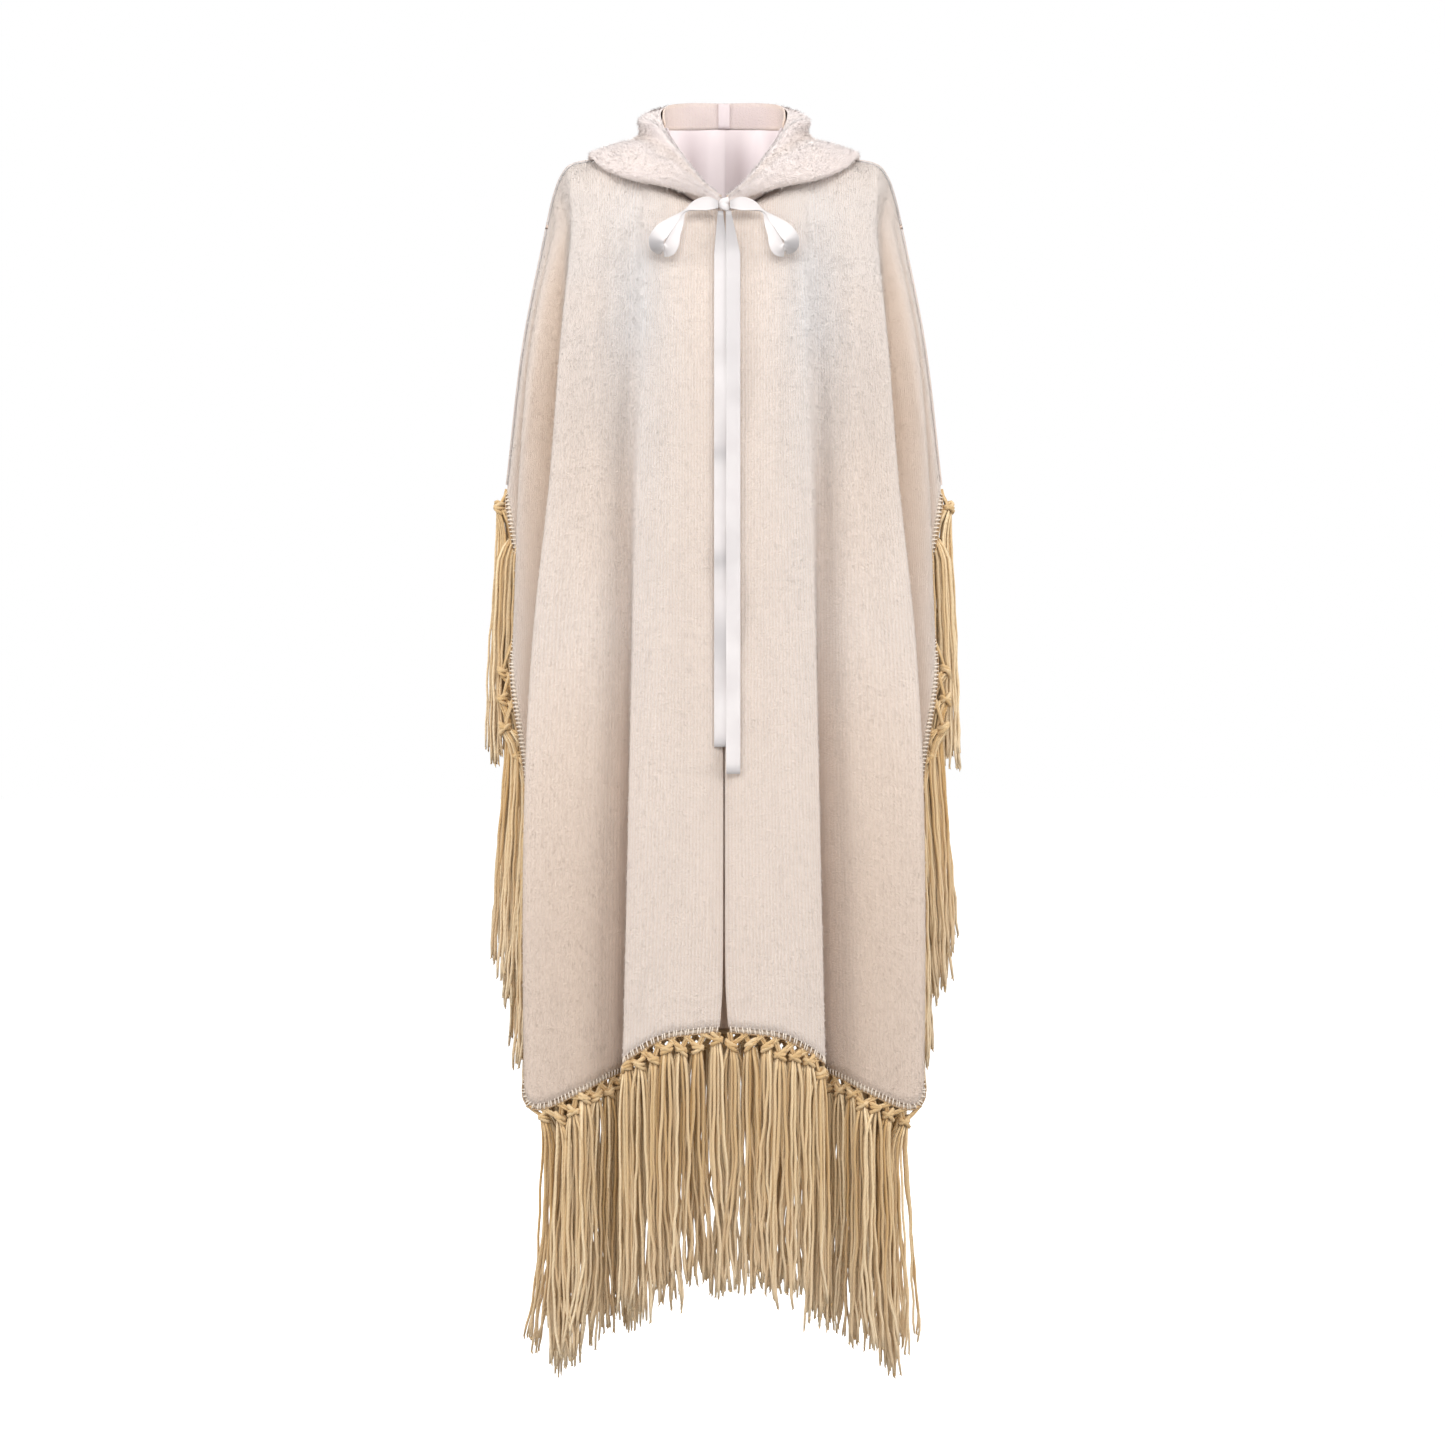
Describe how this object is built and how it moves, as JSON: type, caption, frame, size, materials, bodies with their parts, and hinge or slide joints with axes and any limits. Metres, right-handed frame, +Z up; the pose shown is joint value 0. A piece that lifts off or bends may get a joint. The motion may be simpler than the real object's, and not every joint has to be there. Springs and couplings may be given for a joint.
{
  "type": "hooded knitted poncho",
  "caption": "Long open-front poncho of plush knit with a hood folded back, a satin ribbon tied in a bow at the neck, open sides, and knotted fringe along the hem and side edges.",
  "frame": {"origin": "between the shoulders at the base of the neck, where the wearer's shoulders carry the poncho", "axes": "+Z up along the wearer's spine, -Y to the front, +X to the right of the front view"},
  "size_m": [0.5598, 0.3067, 1.5267],
  "materials": {
    "plush_knit": "cream plush rib knit, matt",
    "satin_lining": "pale pink satin",
    "satin_ribbon": "off-white satin",
    "fringe_yarn": "tan twisted yarn, matt"
  },
  "bodies": {
    "root": {"front_left": "plush_knit", "front_right": "plush_knit", "back": "plush_knit", "hood": "plush_knit", "hood_facing": "plush_knit", "hood_lining": "satin_lining", "hood_tab": "satin_lining", "ribbon_knot": "satin_ribbon", "ribbon_loop_left": "satin_ribbon", "ribbon_loop_right": "satin_ribbon", "ribbon_tail_left": "satin_ribbon", "ribbon_tail_right": "satin_ribbon", "fringe_hem_front_left": "fringe_yarn", "fringe_hem_front_right": "fringe_yarn", "fringe_hem_back": "fringe_yarn", "fringe_side_front_left": "fringe_yarn", "fringe_side_front_right": "fringe_yarn", "fringe_side_back_left": "fringe_yarn", "fringe_side_back_right": "fringe_yarn"}
  },
  "joints": []
}
